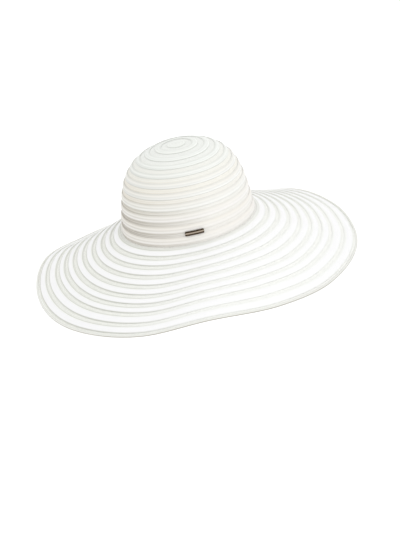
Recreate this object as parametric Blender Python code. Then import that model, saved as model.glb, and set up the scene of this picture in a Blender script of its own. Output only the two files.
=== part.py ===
# Wide-brimmed beach hat, sewn from rows of ribbon on a sheer base cloth.
# Metres, +Z up. The origin is on the floor in the middle of the rim's outline,
# the front of the hat faces -Y and its left-to-right line is X.
# The hat lies as it rests by itself: the rim touches the floor in three stretches.
import math

import bmesh
import bpy
import numpy as np

# Crown and brim, measured on the outer face of the base cloth
CROWN_WIDTH = 0.179
CROWN_LENGTH = 0.190
CROWN_HEIGHT = 0.1035
CROWN_LEAN = 0.0037
BRIM_WIDTH = 0.1415
BRIM_DROP = 0.0644

# Cloth and trim
BASE_THICKNESS = 0.0010
RIBBON_THICKNESS = 0.0010
RIBBON_CLEARANCE = 0.0004
SEAM_CLEARANCE = 0.0003
SEAM_SHEER = 0.0035
BINDING_WIDTH = 0.0030
BINDING_THICKNESS = 0.0024
SWEATBAND_THICKNESS = 0.0010
SWEATBAND_ROWS = 3
PLAQUE_LENGTH = 0.0262
PLAQUE_HEIGHT = 0.0056
PLAQUE_THICKNESS = 0.0010
PLAQUE_AZIMUTH = 2.2
PLAQUE_RISE = 0.0010

# Fineness of the solids
AROUND = 44
SLOPE_STEPS = 40
PLAQUE_COLUMNS = 6

# How steep the crown cloth is on its way from the tip to the brim seam
# columns: share of the way down, slope in degrees
CROWN_SLOPES = [
    (0.00, 0),
    (0.17, 10),
    (0.33, 27),
    (0.50, 57),
    (0.67, 78),
    (0.83, 83),
    (1.00, 83),
]

# Soft sides of the crown, a row for each direction: fuller at the front right,
# sunk in at the left
# columns: azimuth in degrees from the front towards +X, fullness as a share of the width
CROWN_SIDES = [
    (-180, 0.00),
    (-135, -0.03),
    (-90, -0.02),
    (-45, -0.03),
    (0, -0.015),
    (45, 0.03),
    (90, -0.01),
    (135, 0.01),
]

# Rows of the crown, from the tip down to the seam
# columns: width as a share of the way down, share of the row in the sheer band below it
CROWN_ROWS = [
    (0.103, 0.48),
    (0.102, 0.48),
    (0.095, 0.48),
    (0.086, 0.46),
    (0.079, 0.44),
    (0.084, 0.42),
    (0.086, 0.36),
    (0.093, 0.30),
    (0.090, 0.30),
    (0.094, 0.30),
    (0.088, 0.00),
]

# Rows of the brim, from the seam out to the binding
# columns: width, and the bare half of the sheer band at its outer edge, both as
# shares of the sewn brim width
BRIM_ROWS = [
    (0.125, 0.017),
    (0.105, 0.017),
    (0.108, 0.017),
    (0.109, 0.017),
    (0.108, 0.017),
    (0.103, 0.017),
    (0.102, 0.017),
    (0.120, 0.017),
    (0.120, 0.020),
]

# Folds of the brim, a row for each direction
# columns: azimuth in degrees from the front towards +X, lift of the rim as a
# share of the brim drop, slope in degrees at the seam, half way and at the rim
BRIM_FOLDS = [
    (-180.0, 0.00, 21, 27, 38),
    (-157.5, 0.00, 27, 38, 36),
    (-135.0, 0.06, 38, 47, 27),
    (-112.5, 0.20, 27, 21, 19),
    (-90.0, 0.10, 27, 17, 27),
    (-67.5, 0.00, 29, 23, 27),
    (-45.0, 0.03, 27, 24, 18),
    (-22.5, 0.11, 22, 19, 13),
    (0.0, 0.32, 20, 14, 18),
    (22.5, 0.15, 18, 20, 30),
    (45.0, 0.00, 21, 29, 28),
    (67.5, 0.00, 29, 34, 27),
    (90.0, 0.00, 34, 30, 27),
    (112.5, 0.10, 31, 23, 23),
    (135.0, 0.16, 26, 23, 19),
    (157.5, 0.00, 23, 29, 30),
]


def clear_scene():
    for item in list(bpy.data.objects):
        bpy.data.objects.remove(item, do_unlink=True)


def make_material(name, colour, roughness, metallic=0.0):
    material = bpy.data.materials.new(name)
    material.use_nodes = True
    shader = material.node_tree.nodes["Principled BSDF"]
    shader.inputs["Base Color"].default_value = (*colour, 1.0)
    shader.inputs["Roughness"].default_value = roughness
    shader.inputs["Metallic"].default_value = metallic
    return material


def skin(name, loops, material, ring=True):
    """One closed body through loops of points; a loop of one point is a pole."""
    mesh = bmesh.new()
    rows = [[mesh.verts.new(point) for point in loop] for loop in loops]
    pairs = list(zip(rows, rows[1:]))
    if ring:
        pairs.append((rows[-1], rows[0]))
    for first, second in pairs:
        count = max(len(first), len(second))
        for i in range(count):
            j = (i + 1) % count
            if len(first) == 1:
                mesh.faces.new((first[0], second[j], second[i]))
            elif len(second) == 1:
                mesh.faces.new((first[i], first[j], second[0]))
            else:
                mesh.faces.new((first[i], first[j], second[j], second[i]))
    bmesh.ops.recalc_face_normals(mesh, faces=mesh.faces)
    return link(name, mesh, material)


def link(name, mesh, material):
    data = bpy.data.meshes.new(name)
    mesh.to_mesh(data)
    mesh.free()
    data.materials.append(material)
    data.shade_smooth()
    data.set_sharp_from_angle(angle=math.radians(35))
    item = bpy.data.objects.new(name, data)
    bpy.context.collection.objects.link(item)
    return item


def azimuths():
    return [math.radians(-180 + 360 * i / AROUND) for i in range(AROUND)]


def outward(azimuth):
    """Level direction at right angles to the brim seam's oval."""
    x = CROWN_LENGTH * math.sin(azimuth)
    y = -CROWN_WIDTH * math.cos(azimuth)
    size = math.hypot(x, y)
    return x / size, y / size


def segment_normal(first, second):
    """Outward normal of a straight piece of a section, as (out, up)."""
    out = second[0] - first[0]
    up = second[1] - first[1]
    size = math.hypot(out, up)
    return -up / size, out / size


def corner_normals(section):
    """Normal at each point of a section, halfway between its neighbours'."""
    pieces = [segment_normal(a, b) for a, b in zip(section, section[1:])]
    before = [pieces[0]] + pieces
    after = pieces + [pieces[-1]]
    normals = []
    for a, b in zip(before, after):
        half = ((a[0] + b[0]) / 2, (a[1] + b[1]) / 2)
        square = half[0] ** 2 + half[1] ** 2
        normals.append((half[0] / square, half[1] / square))
    return normals


def offset(point, normal, distance):
    return point[0] + normal[0] * distance, point[1] + normal[1] * distance


def between(first, second, share):
    return tuple(a + (b - a) * share for a, b in zip(first, second))


def around_table(table, azimuth):
    """A table's columns at an azimuth, on a smooth closed curve through its rows."""
    count = len(table)
    spot = (math.degrees(azimuth) + 180) * count / 360
    first = int(math.floor(spot))
    t = spot - first
    rows = [table[(first + k) % count][1:] for k in (-1, 0, 1, 2)]
    values = []
    for a, b, c, d in zip(*rows):
        bend = 2 * a - 5 * b + 4 * c - d + t * (3 * b - a - 3 * c + d)
        values.append(b + t * ((c - a) + t * bend) / 2)
    return values


def row_ends(rows):
    """Where each row starts and the last one ends; the widths are evened out to add up to one."""
    ends = np.cumsum([0.0] + [width for width, _ in rows])
    return (ends / ends[-1]).tolist()


def crown_profile():
    """Way down the cloth, half width and depth below the tip, at each row's end, as shares."""
    way = np.linspace(0.0, 1.0, len(CROWN_ROWS) * SLOPE_STEPS + 1)
    slopes = np.radians(np.interp(way, *zip(*CROWN_SLOPES)))
    middle = (slopes[1:] + slopes[:-1]) / 2
    out = np.concatenate([[0.0], np.cumsum(np.cos(middle))])
    down = np.concatenate([[0.0], np.cumsum(np.sin(middle))])
    ends = row_ends(CROWN_ROWS)
    outs = np.interp(ends, way, out / out[-1])
    downs = np.interp(ends, way, down / down[-1])
    return list(zip(ends, outs.tolist(), downs.tolist()))


def crown_section(azimuth):
    """Outer face of the crown base as (out, height), measured from the seam's oval."""
    seam = math.hypot(CROWN_WIDTH / 2 * math.sin(azimuth), CROWN_LENGTH / 2 * math.cos(azimuth))
    foot = BRIM_DROP + SEAM_CLEARANCE
    fullness = around_table(CROWN_SIDES, azimuth)[0]
    section = []
    for way, out_share, down_share in crown_profile():
        swell = 1 + fullness * math.sin(math.pi * way)
        section.append((seam * (out_share * swell - 1), foot + CROWN_HEIGHT * (1 - down_share)))
    return section


def crown_point(azimuth, place):
    """World point of a section's (out, height)."""
    seam_x = CROWN_WIDTH / 2 * math.sin(azimuth)
    seam_y = -CROWN_LENGTH / 2 * math.cos(azimuth)
    seam = math.hypot(seam_x, seam_y)
    lean = CROWN_LEAN * max(0.0, (place[1] - BRIM_DROP) / CROWN_HEIGHT)
    share = 1 + place[0] / seam
    return seam_x * share + lean, seam_y * share, place[1]


def rim_lift(azimuth):
    return max(0.0, around_table(BRIM_FOLDS, azimuth)[0]) * BRIM_DROP


def slope_path(slopes, turn, width):
    """Running (out, down) lengths of a brim section whose slopes are all turned a little."""
    way = np.linspace(0.0, 1.0, SLOPE_STEPS + 1)
    seam, half, rim = slopes
    curve = seam * (1 - way) * (1 - 2 * way) + half * 4 * way * (1 - way) + rim * way * (2 * way - 1)
    angles = np.radians(curve) + turn
    middle = (angles[1:] + angles[:-1]) / 2
    piece = width / SLOPE_STEPS
    out = np.concatenate([[0.0], np.cumsum(np.cos(middle) * piece)])
    down = np.concatenate([[0.0], np.cumsum(np.sin(middle) * piece)])
    return way, out, down


def sewn_width():
    return BRIM_WIDTH - BINDING_WIDTH


def brim_section(azimuth):
    """Outer face of the brim base as (out, height), at the seam and at each row's end."""
    slopes = around_table(BRIM_FOLDS, azimuth)[1:]
    rim_height = rim_lift(azimuth) + (BINDING_THICKNESS + BASE_THICKNESS) / 2
    drop = BRIM_DROP - rim_height
    low, high = math.radians(-60), math.radians(60)
    for _ in range(40):
        turn = (low + high) / 2
        way, out, down = slope_path(slopes, turn, sewn_width())
        if down[-1] < drop:
            low = turn
        else:
            high = turn
    outs = np.interp(row_ends(BRIM_ROWS), way, out)
    heights = BRIM_DROP - np.interp(row_ends(BRIM_ROWS), way, down)
    return list(zip(outs.tolist(), heights.tolist()))


def brim_point(azimuth, place):
    direction = outward(azimuth)
    x = CROWN_WIDTH / 2 * math.sin(azimuth) + direction[0] * place[0]
    y = -CROWN_LENGTH / 2 * math.cos(azimuth) + direction[1] * place[0]
    return x, y, place[1]


def build_crown_base(material):
    outer = []
    inner = []
    for azimuth in azimuths():
        section = crown_section(azimuth)
        normals = corner_normals(section)
        outer.append([crown_point(azimuth, p) for p in section])
        inner.append([crown_point(azimuth, offset(p, n, -BASE_THICKNESS)) for p, n in zip(section, normals)])
    outer_loops = [list(loop) for loop in zip(*outer)]
    inner_loops = [list(loop) for loop in zip(*inner)]
    outer_pole = [outer_loops[0][0]]
    inner_pole = [(outer_pole[0][0], outer_pole[0][1], outer_pole[0][2] - BASE_THICKNESS)]
    loops = [outer_pole] + outer_loops[1:] + inner_loops[:0:-1] + [inner_pole]
    return skin("crown_base", loops, material, ring=False)


def build_brim_base(material):
    columns = []
    for azimuth in azimuths():
        section = [(-BASE_THICKNESS, BRIM_DROP)] + brim_section(azimuth)
        normals = corner_normals(section)
        under = [offset(p, n, -BASE_THICKNESS) for p, n in zip(section, normals)]
        columns.append([brim_point(azimuth, p) for p in section + under[::-1]])
    return skin("brim_base", [list(loop) for loop in zip(*columns)], material)


def ribbon_box(first, second, start, end):
    """Four corners of a ribbon's section that lies on one straight piece of the base."""
    normal = segment_normal(first, second)
    edges = [between(first, second, start), between(first, second, end)]
    low = [offset(p, normal, RIBBON_CLEARANCE) for p in edges]
    high = [offset(p, normal, RIBBON_CLEARANCE + RIBBON_THICKNESS) for p in edges]
    return [low[0], low[1], high[1], high[0]]


def piece_length(first, second):
    return math.hypot(second[0] - first[0], second[1] - first[1])


def build_crown_ribbon(row, material):
    """Ribbon of one crown row, counted from the tip; the first one closes the top."""
    last = len(CROWN_ROWS)
    start = CROWN_ROWS[row - 2][1] / 2 if row > 1 else 0.0
    end = 1 - CROWN_ROWS[row - 1][1] / 2
    columns = []
    for azimuth in azimuths():
        section = crown_section(azimuth)
        first, second = section[row - 1], section[row]
        if row == last:
            end = 1 - SEAM_SHEER / 2 / piece_length(first, second)
        box = ribbon_box(first, second, start, end)
        columns.append([crown_point(azimuth, p) for p in box])
    loops = [list(loop) for loop in zip(*columns)]
    name = f"crown_ribbon_{row:02d}"
    if row > 1:
        return skin(name, loops, material)
    tip_x, tip_y = CROWN_LEAN, 0.0
    tip_low = BRIM_DROP + SEAM_CLEARANCE + CROWN_HEIGHT + RIBBON_CLEARANCE
    low_pole = [(tip_x, tip_y, tip_low)]
    high_pole = [(tip_x, tip_y, tip_low + RIBBON_THICKNESS)]
    return skin(name, [low_pole, loops[1], loops[2], high_pole], material, ring=False)


def build_brim_ribbon(row, material):
    """Ribbon of one brim row, counted from the seam."""
    inner, outer = row_ends(BRIM_ROWS)[row - 1:row + 1]
    if row == 1:
        bare = (SEAM_SHEER / 2 + RIBBON_CLEARANCE + RIBBON_THICKNESS) / sewn_width()
    else:
        bare = BRIM_ROWS[row - 2][1]
    start = bare / (outer - inner)
    end = 1 - BRIM_ROWS[row - 1][1] / (outer - inner)
    columns = []
    for azimuth in azimuths():
        section = brim_section(azimuth)
        box = ribbon_box(section[row - 1], section[row], start, end)
        columns.append([brim_point(azimuth, p) for p in box])
    return skin(f"brim_ribbon_{row:02d}", [list(loop) for loop in zip(*columns)], material)


def binding_box(azimuth):
    """Corners of the binding's section; its underside is level, so it lies flat where it rests."""
    inner = brim_section(azimuth)[-1][0] + SEAM_CLEARANCE
    outer = inner + BINDING_WIDTH
    low = rim_lift(azimuth)
    high = low + BINDING_THICKNESS
    return [(inner, low), (outer, low), (outer, high), (inner, high)]


def build_binding(material):
    columns = [[brim_point(azimuth, p) for p in binding_box(azimuth)] for azimuth in azimuths()]
    return skin("rim_binding", [list(loop) for loop in zip(*columns)], material)


def rim_middle():
    """Middle of the rim's outline, seen from above."""
    outline = [brim_point(azimuth, binding_box(azimuth)[1]) for azimuth in azimuths()]
    xs, ys, _ = zip(*outline)
    return (min(xs) + max(xs)) / 2, (min(ys) + max(ys)) / 2


def build_sweatband(material):
    """Band inside the foot of the crown, against the base cloth."""
    gap = BASE_THICKNESS + SEAM_CLEARANCE
    columns = []
    for azimuth in azimuths():
        section = crown_section(azimuth)
        normals = corner_normals(section)
        near = list(zip(section, normals))[-1 - SWEATBAND_ROWS:]
        wall = [offset(p, n, -gap) for p, n in near]
        face = [offset(p, n, -gap - SWEATBAND_THICKNESS) for p, n in near]
        columns.append([crown_point(azimuth, p) for p in wall + face[::-1]])
    return skin("sweatband", [list(loop) for loop in zip(*columns)], material)


def build_plaque(material):
    """Small blank plate at the lowest sheer band of the crown, curved with the crown."""
    middle = math.radians(PLAQUE_AZIMUTH)
    half_turn = PLAQUE_LENGTH / 2 / (CROWN_LENGTH / 2)
    seat = RIBBON_CLEARANCE + RIBBON_THICKNESS + SEAM_CLEARANCE
    columns = []
    for i in range(PLAQUE_COLUMNS + 1):
        azimuth = middle + half_turn * (2 * i / PLAQUE_COLUMNS - 1)
        section = crown_section(azimuth)
        normal = corner_normals(section)[-2]
        along = (normal[1], -normal[0])
        spot = section[-2]
        corners = []
        for side, depth in ((-1, 0), (1, 0), (1, 1), (-1, 1)):
            edge = offset(spot, along, side * PLAQUE_HEIGHT / 2 - PLAQUE_RISE)
            corners.append(offset(edge, normal, seat + depth * PLAQUE_THICKNESS))
        columns.append([crown_point(azimuth, p) for p in corners])
    mesh = bmesh.new()
    rows = [[mesh.verts.new(point) for point in column] for column in columns]
    for first, second in zip(rows, rows[1:]):
        for i in range(4):
            j = (i + 1) % 4
            mesh.faces.new((first[i], first[j], second[j], second[i]))
    mesh.faces.new(rows[0])
    mesh.faces.new(rows[-1])
    bmesh.ops.recalc_face_normals(mesh, faces=mesh.faces)
    return link("plaque", mesh, material)


def main():
    clear_scene()
    sheer = make_material("sheer_cloth", (0.78, 0.79, 0.75), 0.6)
    ribbon = make_material("white_ribbon", (0.91, 0.90, 0.87), 0.55)
    binding = make_material("binding_tape", (0.72, 0.71, 0.66), 0.6)
    band = make_material("sweatband_cloth", (0.66, 0.55, 0.45), 0.7)
    bronze = make_material("bronze_plate", (0.13, 0.09, 0.07), 0.35, 0.9)
    pieces = [build_crown_base(sheer), build_brim_base(sheer)]
    pieces += [build_crown_ribbon(row, ribbon) for row in range(1, len(CROWN_ROWS) + 1)]
    pieces += [build_brim_ribbon(row, ribbon) for row in range(1, len(BRIM_ROWS) + 1)]
    pieces += [build_binding(binding), build_sweatband(band), build_plaque(bronze)]
    hat = bpy.data.objects.new("hat", None)
    bpy.context.collection.objects.link(hat)
    middle_x, middle_y = rim_middle()
    hat.location = (-middle_x, -middle_y, 0)
    for piece in pieces:
        piece.parent = hat


main()
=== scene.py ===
# %% [markdown]
# # A white beach hat of ribbon and sheer cloth
#
# The real hat is sewn from long ribbons that run round and round. Between two ribbons
# lies a narrow sheer band, and the light that comes through it draws the fine lines
# that one sees first. A tape binds the rim, a woven band lines the foot of the crown,
# and a small bare metal plate sits at the front.
#
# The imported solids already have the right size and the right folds. This script dresses
# them: it makes a finer mesh in the same place for each piece, and gives it cloth.
# All lengths are in metres. The front of the hat faces -Y.

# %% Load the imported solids
import math

import bpy
import numpy as np
from mathutils import Matrix, Vector


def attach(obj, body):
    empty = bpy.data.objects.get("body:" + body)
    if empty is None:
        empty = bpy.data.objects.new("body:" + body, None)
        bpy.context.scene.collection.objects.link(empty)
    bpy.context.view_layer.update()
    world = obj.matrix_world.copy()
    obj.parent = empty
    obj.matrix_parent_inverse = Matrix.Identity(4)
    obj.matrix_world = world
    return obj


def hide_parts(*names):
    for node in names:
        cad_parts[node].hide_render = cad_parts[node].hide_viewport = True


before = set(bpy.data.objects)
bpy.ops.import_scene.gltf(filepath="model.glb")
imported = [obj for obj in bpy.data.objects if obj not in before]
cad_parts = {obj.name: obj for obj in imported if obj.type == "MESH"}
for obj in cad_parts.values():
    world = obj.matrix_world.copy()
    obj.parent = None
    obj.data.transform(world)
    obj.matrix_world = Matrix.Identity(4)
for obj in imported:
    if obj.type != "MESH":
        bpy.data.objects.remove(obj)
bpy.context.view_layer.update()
scene = bpy.context.scene
print("solids loaded:", len(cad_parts), "nodes")

# %% [markdown]
# ## The camera
#
# The photograph looks down on the hat by about 21 degrees, and it is turned a little, so
# that the hat's own floor line rises to the right. A camera that is rolled gives the
# same turn. The fitted camera stands 1.8 m away, which is how such small goods
# are usually photographed, with a long lens. The hat sits high in the picture, so the
# lens is shifted by as much as that needs and no more.

# %% Camera
PICTURE_WIDTH = 400
PICTURE_HEIGHT = 533
CAMERA_DISTANCE = 1.8
CAMERA_RISE = 20.9
CAMERA_ROLL = 11.7
PIXELS_PER_METRE = 756.5
AIM_X = 184.5
AIM_Y = 199.4
AIM_HEIGHT = 0.09


def place_camera(target):
    """A camera on the fitted line, aimed at target, with the target at its own pixel."""
    rise = math.radians(CAMERA_RISE)
    back = Vector((0, -math.cos(rise), math.sin(rise)))
    data = bpy.data.cameras.new("camera")
    data.sensor_fit = "HORIZONTAL"
    data.sensor_width = 36
    data.lens = PIXELS_PER_METRE * CAMERA_DISTANCE * data.sensor_width / PICTURE_WIDTH
    data.shift_x = (PICTURE_WIDTH / 2 - AIM_X) / PICTURE_WIDTH
    data.shift_y = (AIM_Y - PICTURE_HEIGHT / 2) / PICTURE_WIDTH
    camera = bpy.data.objects.new("camera", data)
    scene.collection.objects.link(camera)
    turn = back.to_track_quat("Z", "Y").to_matrix().to_4x4()
    roll = Matrix.Rotation(-math.radians(CAMERA_ROLL), 4, "Z")
    camera.matrix_world = Matrix.Translation(target + back * CAMERA_DISTANCE) @ turn @ roll
    scene.camera = camera
    print("lens", round(data.lens, 1), "mm, shift", round(data.shift_x, 3), round(data.shift_y, 3))


# %% [markdown]
# ## The shape of the hat, in a few numbers
#
# The cloth pieces follow the same named sizes and tables as the solids. Each table has a
# row for a direction or for a seam, so a fold or a row can be changed by itself. The
# angle of a direction is counted from the front towards +X.

# %% Sizes of crown and brim
CROWN_WIDTH = 0.179
CROWN_LENGTH = 0.190
CROWN_HEIGHT = 0.1035
CROWN_LEAN = 0.0037
BRIM_WIDTH = 0.1415
BRIM_DROP = 0.0644
BASE_THICKNESS = 0.0010
RIBBON_THICKNESS = 0.0010
RIBBON_CLEARANCE = 0.0004
SEAM_CLEARANCE = 0.0003
SEAM_SHEER = 0.0035
BINDING_WIDTH = 0.0030
BINDING_THICKNESS = 0.0024

# %% Slope of the crown, from the tip down to the seam
# columns: share of the way down, slope in degrees
CROWN_SLOPES = [
    (0.00, 0),
    (0.17, 10),
    (0.33, 27),
    (0.50, 57),
    (0.67, 78),
    (0.83, 83),
    (1.00, 83),
]

# %% Soft sides of the crown
# columns: azimuth in degrees, fullness as a share of the width
CROWN_SIDES = [
    (-180, 0.00),
    (-135, -0.03),
    (-90, -0.02),
    (-45, -0.03),
    (0, -0.015),
    (45, 0.03),
    (90, -0.01),
    (135, 0.01),
]

# %% Rows of the crown, from the tip down to the seam
# columns: width as a share of the way down, share of the row in the sheer band below it
CROWN_ROWS = [
    (0.103, 0.48),
    (0.102, 0.48),
    (0.095, 0.48),
    (0.086, 0.46),
    (0.079, 0.44),
    (0.084, 0.42),
    (0.086, 0.36),
    (0.093, 0.30),
    (0.090, 0.30),
    (0.094, 0.30),
    (0.088, 0.00),
]

# %% Rows of the brim, from the seam out to the binding
# columns: width, and the bare half of the sheer band at its outer edge, both as
# shares of the sewn brim width
BRIM_ROWS = [
    (0.125, 0.017),
    (0.105, 0.017),
    (0.108, 0.017),
    (0.109, 0.017),
    (0.108, 0.017),
    (0.103, 0.017),
    (0.102, 0.017),
    (0.120, 0.017),
    (0.120, 0.020),
]

# %% Folds of the brim
# columns: azimuth in degrees, lift of the rim as a share of the brim drop,
# slope in degrees at the seam, half way and at the rim
BRIM_FOLDS = [
    (-180.0, 0.00, 21, 27, 38),
    (-157.5, 0.00, 27, 38, 36),
    (-135.0, 0.06, 38, 47, 27),
    (-112.5, 0.20, 27, 21, 19),
    (-90.0, 0.10, 27, 17, 27),
    (-67.5, 0.00, 29, 23, 27),
    (-45.0, 0.03, 27, 24, 18),
    (-22.5, 0.11, 22, 19, 13),
    (0.0, 0.32, 20, 14, 18),
    (22.5, 0.15, 18, 20, 30),
    (45.0, 0.00, 21, 29, 28),
    (67.5, 0.00, 29, 34, 27),
    (90.0, 0.00, 34, 30, 27),
    (112.5, 0.10, 31, 23, 23),
    (135.0, 0.16, 26, 23, 19),
    (157.5, 0.00, 23, 29, 30),
]

# %% [markdown]
# ## From a table to a section
#
# A section is the line that a knife would leave if it cut the cloth straight outward in
# one direction. It is a short list of (out, height) points, one at each seam. The tables
# are read on a smooth closed curve through their rows, so a fold fades into the next
# one. The cloth has a fixed width, so a section is bent, never stretched: its slopes are
# turned by one common angle until the rim comes to its height.

# %% Fineness and directions
AROUND = 352
SLOPE_STEPS = 40
AZIMUTHS = [math.radians(-180 + 360 * i / AROUND) for i in range(AROUND)]


def around_table(table, azimuth):
    """A table's columns at an azimuth, on a smooth closed curve through its rows."""
    count = len(table)
    spot = (math.degrees(azimuth) + 180) * count / 360
    first = int(math.floor(spot))
    t = spot - first
    rows = [table[(first + k) % count][1:] for k in (-1, 0, 1, 2)]
    values = []
    for a, b, c, d in zip(*rows):
        bend = 2 * a - 5 * b + 4 * c - d + t * (3 * b - a - 3 * c + d)
        values.append(b + t * ((c - a) + t * bend) / 2)
    return values


def row_ends(rows):
    """Where each row starts and the last one ends; the widths are evened out to add up to one."""
    ends = np.cumsum([0.0] + [width for width, _ in rows])
    return (ends / ends[-1]).tolist()


# %% Section of the crown
def crown_profile():
    """Way down the cloth, half width and depth below the tip, at each row's end, as shares."""
    way = np.linspace(0.0, 1.0, len(CROWN_ROWS) * SLOPE_STEPS + 1)
    slopes = np.radians(np.interp(way, *zip(*CROWN_SLOPES)))
    middle = (slopes[1:] + slopes[:-1]) / 2
    out = np.concatenate([[0.0], np.cumsum(np.cos(middle))])
    down = np.concatenate([[0.0], np.cumsum(np.sin(middle))])
    ends = row_ends(CROWN_ROWS)
    outs = np.interp(ends, way, out / out[-1])
    downs = np.interp(ends, way, down / down[-1])
    return list(zip(ends, outs.tolist(), downs.tolist()))


def crown_section(azimuth, profile):
    """Outer face of the crown cloth as (out, height), measured from the seam's oval."""
    seam = math.hypot(CROWN_WIDTH / 2 * math.sin(azimuth), CROWN_LENGTH / 2 * math.cos(azimuth))
    foot = BRIM_DROP + SEAM_CLEARANCE
    fullness = around_table(CROWN_SIDES, azimuth)[0]
    section = []
    for way, out_share, down_share in profile:
        swell = 1 + fullness * math.sin(math.pi * way)
        section.append((seam * (out_share * swell - 1), foot + CROWN_HEIGHT * (1 - down_share)))
    return section


# %% Section of the brim
SEWN_WIDTH = BRIM_WIDTH - BINDING_WIDTH
BRIM_STATIONS = row_ends(BRIM_ROWS)


def rim_lift(azimuth):
    return max(0.0, around_table(BRIM_FOLDS, azimuth)[0]) * BRIM_DROP


def brim_section(azimuth):
    """Outer face of the brim cloth as (out, height), at each station from the seam."""
    seam, half, rim = around_table(BRIM_FOLDS, azimuth)[1:]
    drop = BRIM_DROP - rim_lift(azimuth) - (BINDING_THICKNESS + BASE_THICKNESS) / 2
    way = np.linspace(0.0, 1.0, SLOPE_STEPS + 1)
    curve = seam * (1 - way) * (1 - 2 * way) + half * 4 * way * (1 - way) + rim * way * (2 * way - 1)
    low, high = math.radians(-60), math.radians(60)
    for _ in range(40):
        turn = (low + high) / 2
        angles = np.radians(curve) + turn
        middle = (angles[1:] + angles[:-1]) / 2
        down = np.concatenate([[0.0], np.cumsum(np.sin(middle))]) * SEWN_WIDTH / SLOPE_STEPS
        if down[-1] < drop:
            low = turn
        else:
            high = turn
    out = np.concatenate([[0.0], np.cumsum(np.cos(middle))]) * SEWN_WIDTH / SLOPE_STEPS
    outs = np.interp(BRIM_STATIONS, way, out)
    heights = BRIM_DROP - np.interp(BRIM_STATIONS, way, down)
    return list(zip(outs.tolist(), heights.tolist()))


# %% Sections in all directions
profile = crown_profile()
CROWN_SECTIONS = [crown_section(azimuth, profile) for azimuth in AZIMUTHS]
BRIM_SECTIONS = [brim_section(azimuth) for azimuth in AZIMUTHS]
print("sections:", len(CROWN_SECTIONS), "of the crown,", len(BRIM_SECTIONS), "of the brim")

# %% [markdown]
# ## From a section to a place in the room
#
# The crown is an oval that leans a little to one side, so its sections run towards
# the middle. The brim leaves the oval at right angles. The hat's middle is the middle of
# its rim, seen from above, which is where the solids have it too.

# %% Places on crown and brim
def outward(azimuth):
    """Level direction at right angles to the brim seam's oval."""
    x = CROWN_LENGTH * math.sin(azimuth)
    y = -CROWN_WIDTH * math.cos(azimuth)
    size = math.hypot(x, y)
    return x / size, y / size


def crown_point(azimuth, place):
    seam_x = CROWN_WIDTH / 2 * math.sin(azimuth)
    seam_y = -CROWN_LENGTH / 2 * math.cos(azimuth)
    lean = CROWN_LEAN * max(0.0, (place[1] - BRIM_DROP) / CROWN_HEIGHT)
    share = 1 + place[0] / math.hypot(seam_x, seam_y)
    return seam_x * share + lean - MIDDLE_X, seam_y * share - MIDDLE_Y, place[1]


def brim_point(azimuth, place):
    direction = outward(azimuth)
    x = CROWN_WIDTH / 2 * math.sin(azimuth) + direction[0] * place[0]
    y = -CROWN_LENGTH / 2 * math.cos(azimuth) + direction[1] * place[0]
    return x - MIDDLE_X, y - MIDDLE_Y, place[1]


# %% The hat's middle
MIDDLE_X = MIDDLE_Y = 0.0
rim_outs = [section[-1][0] + SEAM_CLEARANCE + BINDING_WIDTH for section in BRIM_SECTIONS]
rim_line = [brim_point(azimuth, (out, 0)) for azimuth, out in zip(AZIMUTHS, rim_outs)]
rim_xs, rim_ys, _ = zip(*rim_line)
MIDDLE_X = (min(rim_xs) + max(rim_xs)) / 2
MIDDLE_Y = (min(rim_ys) + max(rim_ys)) / 2
print("middle of the rim:", round(MIDDLE_X, 5), round(MIDDLE_Y, 5))
place_camera(Vector((-MIDDLE_X, -MIDDLE_Y, AIM_HEIGHT)))

# %% Normals of a section
def segment_normal(first, second):
    """Outward normal of a straight piece of a section, as (out, up)."""
    out = second[0] - first[0]
    up = second[1] - first[1]
    size = math.hypot(out, up)
    return -up / size, out / size


def corner_normals(section):
    """Normal at each point of a section, halfway between its neighbours'."""
    pieces = [segment_normal(a, b) for a, b in zip(section, section[1:])]
    normals = []
    for a, b in zip([pieces[0]] + pieces, pieces + [pieces[-1]]):
        half = ((a[0] + b[0]) / 2, (a[1] + b[1]) / 2)
        square = half[0] ** 2 + half[1] ** 2
        normals.append((half[0] / square, half[1] / square))
    return normals


def offset(point, normal, distance):
    return point[0] + normal[0] * distance, point[1] + normal[1] * distance


def between(first, second, share):
    return tuple(a + (b - a) * share for a, b in zip(first, second))


# %% [markdown]
# ## A mesh that knows its cloth
#
# Every cloth piece is a ring: a small outline that goes once round the hat. Besides its
# shape it needs to know where along the ribbon and where across it a point lies, in real
# metres, or the weave could not follow the ribbon round. That is what the UV map is for.
# It is written here corner by corner, so the last stitch meets the first without a smear.

# %% Ring builder
def length_around(loop):
    pairs = zip(loop, loop[1:] + loop[:1])
    return sum(math.dist(a, b) for a, b in pairs)


def lay_map(mesh, marks):
    """Writes the map "cloth": metres along the piece and metres across it."""
    layer = mesh.uv_layers.new(name="cloth")
    for polygon, corners in zip(mesh.polygons, marks):
        for corner, mark in zip(polygon.loop_indices, corners):
            layer.data[corner].uv = mark


def ring(name, columns, across, material):
    """A piece from one outline for each direction. across: metres across, for each point."""
    count = len(columns[0])
    points = [point for column in columns for point in column]
    length = length_around([column[0] for column in columns])
    faces = []
    marks = []
    for i in range(len(columns)):
        j = (i + 1) % len(columns)
        start, stop = length * i / len(columns), length * (i + 1) / len(columns)
        for k in range(count):
            m = (k + 1) % count
            faces.append((i * count + k, j * count + k, j * count + m, i * count + m))
            marks.append(((start, across[k]), (stop, across[k]), (stop, across[m]), (start, across[m])))
    mesh = bpy.data.meshes.new(name)
    mesh.from_pydata(points, [], faces)
    lay_map(mesh, marks)
    return finish_piece(name, mesh, material)


def finish_piece(name, mesh, material, smooth=60):
    mesh.validate()
    mesh.materials.append(material)
    mesh.shade_smooth()
    mesh.set_sharp_from_angle(angle=math.radians(smooth))
    piece = bpy.data.objects.new(name, mesh)
    scene.collection.objects.link(piece)
    return piece


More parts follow.
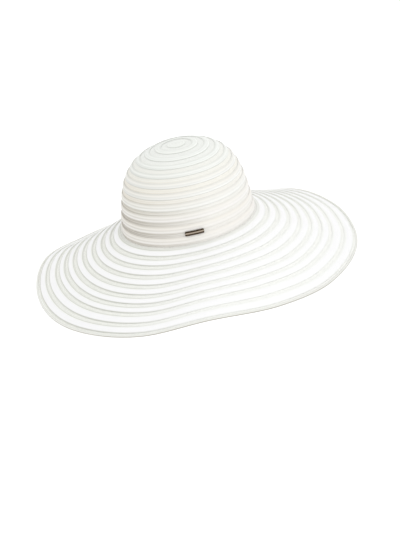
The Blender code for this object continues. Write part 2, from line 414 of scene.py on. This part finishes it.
def dress(piece, slot, *nodes):
    """The piece stands for these solids and rides on the hat's one body."""
    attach(piece, "root")
    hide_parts(*nodes)


# %% [markdown]
# ## Finishes
#
# Cloth looks like cloth when three things are right: the weave, the soft sheen
# that comes from loose fibres, and the light that passes through. The helpers below keep
# each finish short. A weave is two waves, one along the ribbon and one across it, and the
# map in metres gives them their real pitch.

# %% Node helpers
def new_finish(name, roughness, sheen):
    material = bpy.data.materials.new(name)
    material.use_nodes = True
    shader = material.node_tree.nodes["Principled BSDF"]
    shader.inputs["Roughness"].default_value = roughness
    shader.inputs["Sheen Weight"].default_value = sheen
    shader.inputs["Sheen Roughness"].default_value = 0.4
    return material, material.node_tree.nodes, material.node_tree.links, shader


def math_node(nodes, links, kind, *values, clamp=False):
    node = nodes.new("ShaderNodeMath")
    node.operation = kind
    node.use_clamp = clamp
    for socket, value in zip(node.inputs, values):
        if isinstance(value, (int, float)):
            socket.default_value = value
        else:
            links.new(value, socket)
    return node.outputs[0]


def cloth_place(nodes, links):
    """Metres along and across the piece, from its map."""
    where = nodes.new("ShaderNodeUVMap")
    where.uv_map = "cloth"
    split = nodes.new("ShaderNodeSeparateXYZ")
    links.new(where.outputs[0], split.inputs[0])
    return where.outputs[0], split.outputs[0], split.outputs[1]


def wave(nodes, links, distance, pitch):
    """A smooth wave from 0 to 1 with this pitch in metres."""
    turned = math_node(nodes, links, "MULTIPLY", distance, 2 * math.pi / pitch)
    swing = math_node(nodes, links, "SINE", turned)
    return math_node(nodes, links, "MULTIPLY_ADD", swing, 0.5, 0.5)


def blend_colours(nodes, links, share, first, second):
    mix = nodes.new("ShaderNodeMix")
    mix.data_type = "RGBA"
    for socket, value in ((mix.inputs[0], share), (mix.inputs[6], first), (mix.inputs[7], second)):
        if isinstance(value, tuple):
            socket.default_value = (*value, 1.0)
        elif isinstance(value, float):
            socket.default_value = value
        else:
            links.new(value, socket)
    return mix.outputs[2]


def streaks(nodes, links, place, along, across, detail=2.0):
    """Soft uneven colour, drawn out along the ribbon. along and across: sizes in metres."""
    stretch = nodes.new("ShaderNodeMapping")
    stretch.inputs["Scale"].default_value = (1 / along, 1 / across, 1)
    noise = nodes.new("ShaderNodeTexNoise")
    noise.inputs["Scale"].default_value = 1.0
    noise.inputs["Detail"].default_value = detail
    links.new(place, stretch.inputs[0])
    links.new(stretch.outputs[0], noise.inputs["Vector"])
    return noise.outputs[0]


def add_bump(nodes, links, shader, height, depth):
    bump = nodes.new("ShaderNodeBump")
    bump.inputs["Strength"].default_value = 0.8
    bump.inputs["Distance"].default_value = depth
    links.new(height, bump.inputs["Height"])
    links.new(bump.outputs[0], shader.inputs["Normal"])


# %% [markdown]
# ### Ribbon
#
# The ribbon is a fine ribbed band, ivory white and a little glossy. Its ribs run across
# it. Both edges are sewn over with a green-grey thread, which draws the fine double lines of
# the hat, and beside the threads the white turns a little creamier. On the crown each
# row takes a tint from what lies behind it, and the left side is darker than the right as
# painted shade, so the colours come in as arguments. Each ribbon also carries painted shade
# towards its lower edge, and its threads are painted darker on the shaded side of the hat.

# %% Ribbon finish
RIB_PITCH = 0.0009
RIB_DEPTH = 0.00012
STREAK_LENGTH = 0.05
STREAK_WIDTH = 0.0009
THREAD_CORE = 0.6
LOWER_SHADE = 0.55
STREAK_RELIEF = 0.6


def slope_between(nodes, links, distance, start, end):
    """0 before start, 1 after end, and straight between them."""
    shifted = math_node(nodes, links, "SUBTRACT", distance, start)
    return math_node(nodes, links, "DIVIDE", shifted, end - start, clamp=True)


def side_shade_share(nodes, links, side):
    """0 up to the first distance from the hat's middle in a direction, 1 beyond the second; the mask of
    painted side shade.
    """
    direction, start, end = side
    where = nodes.new("ShaderNodeTexCoord")
    reach = nodes.new("ShaderNodeVectorMath")
    reach.operation = "DOT_PRODUCT"
    reach.inputs[1].default_value = direction
    links.new(where.outputs["Object"], reach.inputs[0])
    return slope_between(nodes, links, reach.outputs["Value"], start, end)


def fine_lines(nodes, links, across, soft, pitch, strength):
    """Fine lines along the piece that come and go."""
    lines = wave(nodes, links, across, pitch)
    uneven = math_node(nodes, links, "MULTIPLY", lines, soft)
    return math_node(nodes, links, "MULTIPLY", uneven, strength)


def ribbon_finish(name, width, colours, edges, pleats, side, shaded):
    """edges: selvedge, thread and margin at the upper edge, then thread and margin at the lower.
    pleats: pitch and strength of the fine lines along the ribbon."""
    core, margin, shaded_thread, lit_thread = colours
    edge, upper, fade, lower, lower_fade = edges
    material, nodes, links, shader = new_finish(name, 0.5, 0.25)
    place, along, across = cloth_place(nodes, links)
    back = math_node(nodes, links, "SUBTRACT", width, across)
    # Painted shade: the side mask is 0 on the lit side and 1 on the shaded side, and the thread colour
    # darkens towards the shaded side.
    turned = side_shade_share(nodes, links, side)
    thread_with_side_shade = blend_colours(nodes, links, turned, lit_thread, shaded_thread)
    rise = slope_between(nodes, links, across, edge + upper, edge + upper + fade)
    body = blend_colours(nodes, links, rise, margin, core)
    soft = streaks(nodes, links, place, STREAK_LENGTH, STREAK_WIDTH)
    lines = fine_lines(nodes, links, across, soft, *pleats)
    body = blend_colours(nodes, links, lines, body, thread_with_side_shade)
    # Painted shade: the ribbon darkens towards its lower edge, where it turns down, and all over by shaded,
    # both only on the shaded side.
    falling = slope_between(nodes, links, back, lower + lower_fade, lower)
    shadow = math_node(nodes, links, "MULTIPLY_ADD", falling, LOWER_SHADE, shaded)
    shadow = math_node(nodes, links, "MULTIPLY", shadow, turned)
    body = blend_colours(nodes, links, shadow, body, shaded_thread)
    on_upper = slope_between(nodes, links, across, edge + upper, edge + upper * THREAD_CORE)
    on_lower = slope_between(nodes, links, back, lower, lower * THREAD_CORE)
    on_thread = math_node(nodes, links, "MAXIMUM", on_upper, on_lower)
    body = blend_colours(nodes, links, on_thread, body, thread_with_side_shade)
    if edge > 0:
        on_selvedge = slope_between(nodes, links, across, edge, edge * 0.7)
        half_way = blend_colours(nodes, links, 0.5, thread_with_side_shade, margin)
        body = blend_colours(nodes, links, on_selvedge, body, half_way)
    links.new(body, shader.inputs["Base Color"])
    ribs = wave(nodes, links, along, RIB_PITCH)
    relief = math_node(nodes, links, "MULTIPLY_ADD", soft, STREAK_RELIEF, ribs)
    add_bump(nodes, links, shader, relief, RIB_DEPTH)
    return material


# %% [markdown]
# ### Sheer cloth
#
# The sheer bands are a thin open weave. What lies behind shows through the holes, so the
# weave sets how far the cloth is see-through, thread by thread. The crown's cloth
# changes its tint from row to row, so its colour comes from a ramp down the crown,
# with a second, darker ramp for the left side, which is painted shade. On the brim the
# second ramp is the shaded tint away from the front right, which is painted lighter.

# %% Sheer finish
THREAD_PITCH = 0.0007
SHEER_HIGHLIGHT = (0.97, 0.97, 0.94)
SHEER_LINES = (0.0023, 0.9)
SHEER_DEPTH = 0.0001


def ramp_down(nodes, links, across, length, shades, column):
    """A colour for each share of the way across the piece, from one column of a table."""
    ramp = nodes.new("ShaderNodeValToRGB")
    points = ramp.color_ramp.elements
    while len(points) < len(shades):
        points.new(0.5)
    for point, row in zip(points, shades):
        point.position = row[0]
        point.color = (*row[column], 1.0)
    share = math_node(nodes, links, "DIVIDE", across, length)
    links.new(share, ramp.inputs[0])
    return ramp.outputs[0]


def sheer_finish(name, shades, length, side, least, most):
    """least and most: how dense the cloth is in its holes and on its threads."""
    material, nodes, links, shader = new_finish(name, 0.6, 0.2)
    place, along, across = cloth_place(nodes, links)
    # Painted light and shade: the first ramp colours the lit side, the second the shaded side.
    lit_tint = ramp_down(nodes, links, across, length, shades, 1)
    shaded_tint = ramp_down(nodes, links, across, length, shades, 2)
    tint = blend_colours(nodes, links, side_shade_share(nodes, links, side), lit_tint, shaded_tint)
    soft = streaks(nodes, links, place, STREAK_LENGTH, STREAK_WIDTH, detail=4.0)
    lines = fine_lines(nodes, links, across, soft, *SHEER_LINES)
    links.new(blend_colours(nodes, links, lines, tint, SHEER_HIGHLIGHT), shader.inputs["Base Color"])
    warp = wave(nodes, links, along, THREAD_PITCH)
    weft = wave(nodes, links, across, THREAD_PITCH)
    threads = math_node(nodes, links, "MAXIMUM", warp, weft)
    links.new(math_node(nodes, links, "MULTIPLY_ADD", threads, most - least, least), shader.inputs["Alpha"])
    add_bump(nodes, links, shader, threads, SHEER_DEPTH)
    return material


# %% Finish of the binding, the sweatband and the plate
def woven_finish(name, colour, pale, pitch, roughness):
    """A close twill: the two waves are read along slanting lines."""
    material, nodes, links, shader = new_finish(name, roughness, 0.3)
    place, along, across = cloth_place(nodes, links)
    slant = math_node(nodes, links, "ADD", along, across)
    counter = math_node(nodes, links, "SUBTRACT", along, across)
    rising = wave(nodes, links, slant, pitch)
    falling = wave(nodes, links, counter, pitch * 2)
    twill = math_node(nodes, links, "MULTIPLY", rising, falling)
    soft = streaks(nodes, links, place, 0.02, 0.004)
    half_soft = math_node(nodes, links, "MULTIPLY", soft, 0.5)
    shade = math_node(nodes, links, "MULTIPLY_ADD", twill, 0.5, half_soft)
    links.new(blend_colours(nodes, links, shade, colour, pale), shader.inputs["Base Color"])
    add_bump(nodes, links, shader, twill, 0.00015)
    return material


# %% [markdown]
# ## The sheer cloth of crown and brim
#
# One thin shell carries the crown's ribbons and another the brim's. Both bend a little
# in the middle of each sheer band, where two ribbons meet, and are flat under the ribbons.

# %% Crown cloth
# Painted shade: the crown is painted darker towards its left side, from 3 cm right of the hat's middle to
# 8.5 cm left of it.
CROWN_SHADE_SIDE = ((1, 0, 0), 0.03, -0.085)
# columns: share of the way down the crown, tint of the sheer cloth at the right, and tint at the left,
# which is painted darker as painted shade
CROWN_SHADES = [
    (0.00, (0.88, 0.90, 0.86), (0.86, 0.88, 0.84)),
    (0.30, (0.89, 0.91, 0.87), (0.86, 0.88, 0.84)),
    (0.42, (0.90, 0.90, 0.84), (0.85, 0.85, 0.79)),
    (0.55, (0.91, 0.89, 0.81), (0.84, 0.80, 0.70)),
    (0.66, (0.91, 0.89, 0.83), (0.78, 0.73, 0.63)),
    (0.74, (0.93, 0.92, 0.87), (0.58, 0.54, 0.45)),
    (0.84, (0.95, 0.93, 0.88), (0.42, 0.37, 0.30)),
    (0.96, (0.95, 0.92, 0.87), (0.38, 0.33, 0.26)),
    (1.00, (0.92, 0.90, 0.86), (0.54, 0.49, 0.41)),
]
# Painted light: the brim's sheer cloth is painted lighter out towards the front right, where the light
# falls.
BRIM_SHADE_SIDE = ((0.64, -0.77, 0), 0.12, 0.02)
# columns: share of the way out on the brim, tint of the sheer cloth at the front right, painted lighter
# as painted light, and elsewhere; next to the seam both are painted a little darker, as painted shade
BRIM_SHADES = [
    (0.00, (0.93, 0.93, 0.90), (0.88, 0.88, 0.83)),
    (0.05, (0.96, 0.97, 0.93), (0.90, 0.91, 0.85)),
    (1.00, (0.96, 0.97, 0.93), (0.90, 0.91, 0.85)),
]


def running_lengths(section):
    lengths = [0.0]
    for a, b in zip(section, section[1:]):
        lengths.append(lengths[-1] + math.dist(a, b))
    return lengths


def build_crown_cloth():
    columns = []
    for azimuth, section in zip(AZIMUTHS, CROWN_SECTIONS):
        normals = corner_normals(section)
        under = [offset(p, n, -BASE_THICKNESS) for p, n in zip(section, normals)]
        columns.append([crown_point(azimuth, p) for p in section + under[::-1]])
    across = running_lengths(CROWN_SECTIONS[0])
    finish = sheer_finish("crown_sheer", CROWN_SHADES, across[-1], CROWN_SHADE_SIDE, 0.75, 0.97)
    return ring("crown_cloth", columns, across + across[::-1], finish)


def build_brim_cloth():
    columns = []
    for azimuth, line in zip(AZIMUTHS, BRIM_SECTIONS):
        section = [(-BASE_THICKNESS, BRIM_DROP)] + line
        normals = corner_normals(section)
        under = [offset(p, n, -BASE_THICKNESS) for p, n in zip(section, normals)]
        columns.append([brim_point(azimuth, p) for p in section + under[::-1]])
    across = running_lengths(section)
    finish = sheer_finish("brim_sheer", BRIM_SHADES, across[-1], BRIM_SHADE_SIDE, 0.55, 0.95)
    return ring("brim_cloth", columns, across + across[::-1], finish)


crown_cloth = build_crown_cloth()
brim_cloth = build_brim_cloth()
dress(crown_cloth, "sheer", "crown_base")
dress(brim_cloth, "sheer", "brim_base")
print("crown cloth:", len(crown_cloth.data.polygons), "faces, brim cloth:", len(brim_cloth.data.polygons))

# %% [markdown]
# ## The ribbons
#
# A ribbon that is sewn down at both edges stands up a little in its middle, which gives
# the crown its bumpy outline. So each ribbon's outline is a low arch: thin at the edges
# and thicker in the middle.

# %% Ribbon outline
ARCH_SHARES = (0.0, 0.06, 0.18, 0.34, 0.5, 0.66, 0.82, 0.94, 1.0)
RIBBON_SEAT = 0.0002
RIBBON_EDGE = 0.0003
ARCH_RISE = 0.0007


def ribbon_outline(first, second, start, end):
    """Arch over one straight piece of the cloth, then back along its underside."""
    normal = segment_normal(first, second)
    top = []
    low = []
    for share in ARCH_SHARES:
        spot = between(first, second, start + (end - start) * share)
        arch = 4 * share * (1 - share)
        top.append(offset(spot, normal, RIBBON_SEAT + RIBBON_EDGE + ARCH_RISE * arch))
        low.append(offset(spot, normal, RIBBON_SEAT + ARCH_RISE * arch * 0.6))
    return top + low[::-1]


def ribbon_across(width):
    across = [share * width for share in ARCH_SHARES]
    return across + across[::-1]


# %% Tints of the crown's rows, from the tip down
# columns: core, margin, thread at the left, and thread at the right; the left thread is painted darker as
# painted shade, and it also colours each ribbon's painted shade
CROWN_TINTS = [
    ((0.86, 0.88, 0.84), (0.82, 0.84, 0.80), (0.70, 0.72, 0.67), (0.74, 0.76, 0.71)),
    ((0.92, 0.94, 0.90), (0.82, 0.84, 0.80), (0.67, 0.69, 0.64), (0.73, 0.75, 0.70)),
    ((0.93, 0.95, 0.92), (0.82, 0.84, 0.80), (0.64, 0.66, 0.61), (0.73, 0.75, 0.70)),
    ((0.93, 0.95, 0.92), (0.82, 0.84, 0.80), (0.61, 0.63, 0.58), (0.73, 0.75, 0.70)),
    ((0.92, 0.93, 0.90), (0.83, 0.84, 0.79), (0.59, 0.61, 0.56), (0.73, 0.75, 0.71)),
    ((0.91, 0.91, 0.88), (0.84, 0.82, 0.75), (0.57, 0.58, 0.54), (0.73, 0.74, 0.71)),
    ((0.91, 0.91, 0.88), (0.84, 0.81, 0.74), (0.54, 0.54, 0.49), (0.73, 0.74, 0.71)),
    ((0.91, 0.91, 0.88), (0.83, 0.81, 0.75), (0.50, 0.48, 0.41), (0.75, 0.75, 0.72)),
    ((0.92, 0.90, 0.88), (0.84, 0.82, 0.76), (0.45, 0.42, 0.35), (0.79, 0.78, 0.74)),
    ((0.92, 0.90, 0.87), (0.85, 0.82, 0.75), (0.42, 0.38, 0.31), (0.79, 0.77, 0.73)),
    ((0.92, 0.90, 0.87), (0.86, 0.83, 0.77), (0.50, 0.46, 0.39), (0.82, 0.80, 0.76)),
]
# Painted shade: CROWN_LOWER_FADE is how far up from its lower edge each ribbon's painted shade reaches, and
# CROWN_SHADED darkens the left side's ribbons all over.
CROWN_THREAD_WIDTHS = (0.0003, 0.0008)
CROWN_UPPER_FADE = 0.75
CROWN_LOWER_FADE = 0.0020
CROWN_PLEATS = (0.0041, 0.9)
CROWN_SHADED = 0.10

# %% Crown ribbons
def crown_limits(row, first, second):
    start = CROWN_ROWS[row - 2][1] / 2 if row > 1 else 0.0
    end = 1 - CROWN_ROWS[row - 1][1] / 2
    if row == len(CROWN_ROWS):
        end = 1 - SEAM_SHEER / 2 / math.dist(first, second)
    return start, end


def build_crown_ribbon(row):
    columns = []
    widths = []
    for azimuth, section in zip(AZIMUTHS, CROWN_SECTIONS):
        first, second = section[row - 1], section[row]
        start, end = crown_limits(row, first, second)
        columns.append([crown_point(azimuth, p) for p in ribbon_outline(first, second, start, end)])
        widths.append((end - start) * math.dist(first, second))
    width = sum(widths) / len(widths)
    name = f"crown_ribbon_white_{row:02d}"
    upper, lower = CROWN_THREAD_WIDTHS
    edges = (0.0, upper, width * CROWN_UPPER_FADE, lower, CROWN_LOWER_FADE)
    tints = CROWN_TINTS[row - 1]
    finish = ribbon_finish(name, width, tints, edges, CROWN_PLEATS, CROWN_SHADE_SIDE, CROWN_SHADED)
    return ring(f"crown_row_{row:02d}", columns, ribbon_across(width), finish), width


for row in range(1, len(CROWN_ROWS) + 1):
    piece, width = build_crown_ribbon(row)
    dress(piece, "ribbon", f"crown_ribbon_{row:02d}")
    print(piece.name, "is", round(width * 1000, 1), "mm wide")

# %% Brim ribbons
# core, margin, thread, and thread at the front right, painted paler there as painted light; the thread
# colour also paints each ribbon's shade towards its outer edge
BRIM_COLOURS = ((0.935, 0.935, 0.94), (0.92, 0.93, 0.89), (0.58, 0.59, 0.53), (0.88, 0.89, 0.87))
# selvedge, upper thread and margin, lower thread and margin, in metres
BRIM_EDGES = (0.0010, 0.0006, 0.0018, 0.0011, 0.0006)
BRIM_PLEATS = (0.0030, 0.08)
# Painted light and shade: at the front right the brim ribbons' threads turn pale and their painted shade
# fades out; the first row's selvedge is widened into a grey band of painted shade next to the crown seam.
BRIM_RIBBON_SHADE_SIDE = ((0.80, -0.60, 0), 0.12, 0.0)
SEAM_SHADE_SELVEDGE = 0.0026


def brim_limits(row):
    """Where the ribbon starts and ends, as shares of its straight piece of cloth."""
    inner, outer = BRIM_STATIONS[row - 1], BRIM_STATIONS[row]
    if row == 1:
        bare = (SEAM_SHEER / 2 + RIBBON_CLEARANCE + RIBBON_THICKNESS) / SEWN_WIDTH
    else:
        bare = BRIM_ROWS[row - 2][1]
    return bare / (outer - inner), 1 - BRIM_ROWS[row - 1][1] / (outer - inner)


def build_brim_ribbon(row):
    start, end = brim_limits(row)
    columns = []
    for azimuth, section in zip(AZIMUTHS, BRIM_SECTIONS):
        outline = ribbon_outline(section[row - 1], section[row], start, end)
        columns.append([brim_point(azimuth, p) for p in outline])
    width = (end - start) * (BRIM_STATIONS[row] - BRIM_STATIONS[row - 1]) * SEWN_WIDTH
    edges = (SEAM_SHADE_SELVEDGE, *BRIM_EDGES[1:]) if row == 1 else BRIM_EDGES
    name = f"brim_ribbon_white_{row:02d}"
    finish = ribbon_finish(name, width, BRIM_COLOURS, edges, BRIM_PLEATS, BRIM_RIBBON_SHADE_SIDE, 0.0)
    return ring(f"brim_row_{row:02d}", columns, ribbon_across(width), finish), width


for row in range(1, len(BRIM_ROWS) + 1):
    piece, width = build_brim_ribbon(row)
    dress(piece, "ribbon", f"brim_ribbon_{row:02d}")
    print(piece.name, "is", round(width * 1000, 1), "mm wide")

# %% [markdown]
# ## The tape at the rim
#
# A narrow tape is folded over the raw edge of the cloth. Its outline is a rounded
# block whose underside is level, because that is what the hat rests on.

# %% Binding
BINDING_ROUNDING = 0.0008
TAPE_FINISH = woven_finish("rim_tape", (0.76, 0.77, 0.72), (0.90, 0.90, 0.86), 0.0008, 0.6)
TAPE_SHADOW = (0.38, 0.36, 0.31)
SHADOW_END = 0.0041
UNSHADED_START = 0.0049


def shade_the_foot(material):
    """Painted shade: the tape's lower half is darker, where it turns under towards the floor."""
    nodes, links = material.node_tree.nodes, material.node_tree.links
    place, along, across = cloth_place(nodes, links)
    unshaded = slope_between(nodes, links, across, SHADOW_END, UNSHADED_START)
    shader = nodes["Principled BSDF"]
    weave = shader.inputs["Base Color"].links[0].from_socket
    links.new(blend_colours(nodes, links, unshaded, TAPE_SHADOW, weave), shader.inputs["Base Color"])


shade_the_foot(TAPE_FINISH)


def rounded_block(inner, outer, low, high, rounding, steps=4):
    """Outline of a block with rounded corners, from the inner low corner round."""
    corners = [(inner, low, 180), (outer, low, 270), (outer, high, 0), (inner, high, 90)]
    outline = []
    for out, height, first in corners:
        middle_out = out + (rounding if out == inner else -rounding)
        middle_height = height + (rounding if height == low else -rounding)
        for step in range(steps + 1):
            angle = math.radians(first + 90 * step / steps)
            place = (middle_out + rounding * math.cos(angle), middle_height + rounding * math.sin(angle))
            outline.append(place)
    return outline


def build_binding():
    columns = []
    for azimuth, section in zip(AZIMUTHS, BRIM_SECTIONS):
        inner = section[-1][0] + SEAM_CLEARANCE
        low = rim_lift(azimuth)
        outer = inner + BINDING_WIDTH
        outline = rounded_block(inner, outer, low, low + BINDING_THICKNESS, BINDING_ROUNDING)
        columns.append([brim_point(azimuth, p) for p in outline])
    across = running_lengths(outline)
    return ring("rim_tape", columns, across, TAPE_FINISH)


rim_tape = build_binding()
dress(rim_tape, "binding", "rim_binding")
print("rim tape:", round(length_around(rim_line), 3), "m round")

# %% [markdown]
# ## The sweatband
#
# Inside the foot of the crown runs a woven band that keeps the hat on the head. It
# can be seen from below, and it shows through the lowest rows as a warm shade.

# %% Sweatband
SWEATBAND_THICKNESS = 0.0010
SWEATBAND_ROWS = 3
BAND_FINISH = woven_finish("sweatband_weave", (0.50, 0.38, 0.29), (0.70, 0.58, 0.47), 0.0012, 0.75)


def build_sweatband():
    gap = BASE_THICKNESS + SEAM_CLEARANCE
    columns = []
    for azimuth, section in zip(AZIMUTHS, CROWN_SECTIONS):
        near = list(zip(section, corner_normals(section)))[-1 - SWEATBAND_ROWS:]
        wall = [offset(p, n, -gap) for p, n in near]
        face = [offset(p, n, -gap - SWEATBAND_THICKNESS) for p, n in near]
        columns.append([crown_point(azimuth, p) for p in wall + face[::-1]])
    across = running_lengths(wall)
    return ring("inner_band", columns, across + across[::-1], BAND_FINISH)


inner_band = build_sweatband()
dress(inner_band, "sweatband", "sweatband")

# %% [markdown]
# ## The small plate
#
# A bare bronze plate is clipped over the lowest sheer band at the front. It bends with
# the crown. Its long edges are raised and dark, and its middle is rubbed lighter.

# %% Plate
PLAQUE_LENGTH = 0.0262
PLAQUE_HEIGHT = 0.0056
PLAQUE_THICKNESS = 0.0010
PLAQUE_AZIMUTH = 2.2
PLAQUE_RISE = 0.0010
PLATE_COLUMNS = 32
PLATE_ROWS = 14
PLATE_CORNER = 0.0009
PLATE_EDGE = 0.0020


def plate_finish():
    material, nodes, links, shader = new_finish("bronze_plate", 0.35, 0.0)
    shader.inputs["Metallic"].default_value = 0.9
    place, along, across = cloth_place(nodes, links)
    to_far_edge = math_node(nodes, links, "SUBTRACT", PLAQUE_HEIGHT, across)
    to_edge = math_node(nodes, links, "MINIMUM", across, to_far_edge)
    inside = slope_between(nodes, links, to_edge, PLATE_EDGE - 0.0002, PLATE_EDGE + 0.0002)
    brushed = streaks(nodes, links, place, 0.006, 0.0003)
    middle = blend_colours(nodes, links, brushed, (0.30, 0.24, 0.18), (0.52, 0.45, 0.37))
    colour = blend_colours(nodes, links, inside, (0.055, 0.035, 0.02), middle)
    links.new(colour, shader.inputs["Base Color"])
    add_bump(nodes, links, shader, brushed, 0.00004)
    return material


def plate_height(across):
    """Raised long edges round a sunk middle, as a share of the plate's thickness."""
    to_edge = min(across, 1 - across) * PLAQUE_HEIGHT
    return 1.0 if to_edge < PLATE_EDGE else 0.72


def build_plate():
    middle = math.radians(PLAQUE_AZIMUTH)
    half_turn = PLAQUE_LENGTH / 2 / (CROWN_LENGTH / 2)
    seat = RIBBON_CLEARANCE + RIBBON_THICKNESS + SEAM_CLEARANCE
    faces = []
    marks = []
    points = []
    for layer in (0, 1):
        for i in range(PLATE_COLUMNS + 1):
            turn = 2 * i / PLATE_COLUMNS - 1
            azimuth = middle + half_turn * turn
            section = crown_section(azimuth, profile)
            normal = corner_normals(section)[-2]
            down = (normal[1], -normal[0])
            from_end = (1 - abs(turn)) * PLAQUE_LENGTH / 2
            cut = max(0.0, PLATE_CORNER - from_end)
            trim = PLATE_CORNER - math.sqrt(max(0.0, PLATE_CORNER ** 2 - cut ** 2))
            for k in range(PLATE_ROWS + 1):
                across = k / PLATE_ROWS
                side = (across - 0.5) * (PLAQUE_HEIGHT - 2 * trim) - PLAQUE_RISE
                lift = plate_height(across) * PLAQUE_THICKNESS * layer
                spot = offset(offset(section[-2], down, side), normal, seat + lift)
                points.append(crown_point(azimuth, spot))
    row = PLATE_ROWS + 1
    size = (PLATE_COLUMNS + 1) * row

    def mark(index):
        index %= size
        return index // row * PLAQUE_LENGTH / PLATE_COLUMNS, index % row * PLAQUE_HEIGHT / PLATE_ROWS

    for i in range(PLATE_COLUMNS):
        for k in range(PLATE_ROWS):
            a = i * row + k
            faces.append((a, a + 1, a + row + 1, a + row))
            faces.append((size + a, size + a + row, size + a + row + 1, size + a + 1))
    for i in range(PLATE_COLUMNS):
        for k in (0, PLATE_ROWS):
            a = i * row + k
            wall = (a, a + row, size + a + row, size + a)
            faces.append(wall if k == 0 else wall[::-1])
    for i in (0, PLATE_COLUMNS):
        for k in range(PLATE_ROWS):
            a = i * row + k
            wall = (a, a + 1, size + a + 1, size + a)
            faces.append(wall[::-1] if i == 0 else wall)
    marks = [tuple(mark(index) for index in face) for face in faces]
    mesh = bpy.data.meshes.new("front_plate")
    mesh.from_pydata(points, [], faces)
    lay_map(mesh, marks)
    return finish_piece("front_plate", mesh, plate_finish(), smooth=40)


front_plate = build_plate()
dress(front_plate, "plaque", "plaque")
print("plate:", len(front_plate.data.polygons), "faces")

# %% [markdown]
# ## Floor, sky and lamps
#
# The photograph is a bright studio picture: the floor and the wall burn out to white, and
# the hat is lit from all round, a little stronger from the front right. A white world
# gives the even light and one large soft lamp the direction.

# %% Floor
FLOOR_SIZE = 8.0
FLOOR_GREY = 0.30
FLOOR_GLOW = 0.85


def build_floor():
    """A pale floor that glows a little, so that it burns out to white."""
    mesh = bpy.data.meshes.new("floor")
    half = FLOOR_SIZE / 2
    corners = [(-half, -half, 0), (half, -half, 0), (half, half, 0), (-half, half, 0)]
    mesh.from_pydata(corners, [], [(0, 1, 2, 3)])
    floor = bpy.data.objects.new("floor", mesh)
    scene.collection.objects.link(floor)
    material, nodes, links, shader = new_finish("pale_floor", 0.9, 0.0)
    shader.inputs["Base Color"].default_value = (FLOOR_GREY, FLOOR_GREY, FLOOR_GREY, 1)
    shader.inputs["Emission Color"].default_value = (1, 1, 1, 1)
    shader.inputs["Emission Strength"].default_value = FLOOR_GLOW
    mesh.materials.append(material)


build_floor()

# %% World and lamp
DIM_SIDE = 0.97
BRIGHT_SIDE = 1.00
BRIGHT_TOWARDS = Vector((0.8, -0.5, 0.3)).normalized()


def white_world():
    """White all round, and brighter on one side."""
    world = bpy.data.worlds.new("white_room")
    world.use_nodes = True
    nodes, links = world.node_tree.nodes, world.node_tree.links
    background = nodes["Background"]
    background.inputs["Color"].default_value = (1, 1, 1, 1)
    where = nodes.new("ShaderNodeTexCoord")
    facing = nodes.new("ShaderNodeVectorMath")
    facing.operation = "DOT_PRODUCT"
    facing.inputs[1].default_value = BRIGHT_TOWARDS
    links.new(where.outputs["Generated"], facing.inputs[0])
    half = math_node(nodes, links, "MULTIPLY_ADD", facing.outputs["Value"], 0.5, 0.5)
    strength = math_node(nodes, links, "MULTIPLY_ADD", half, BRIGHT_SIDE - DIM_SIDE, DIM_SIDE)
    links.new(strength, background.inputs["Strength"])
    return world


scene.view_settings.view_transform = "Standard"
scene.world = white_world()


def soft_lamp(name, place, size, power):
    data = bpy.data.lights.new(name, "AREA")
    data.size = size
    data.energy = power
    lamp = bpy.data.objects.new(name, data)
    scene.collection.objects.link(lamp)
    lamp.location = place
    lamp.rotation_euler = Vector(place).to_track_quat("Z", "Y").to_euler()


soft_lamp("key_lamp", (1.2, -1.2, 2.0), 1.2, 7)
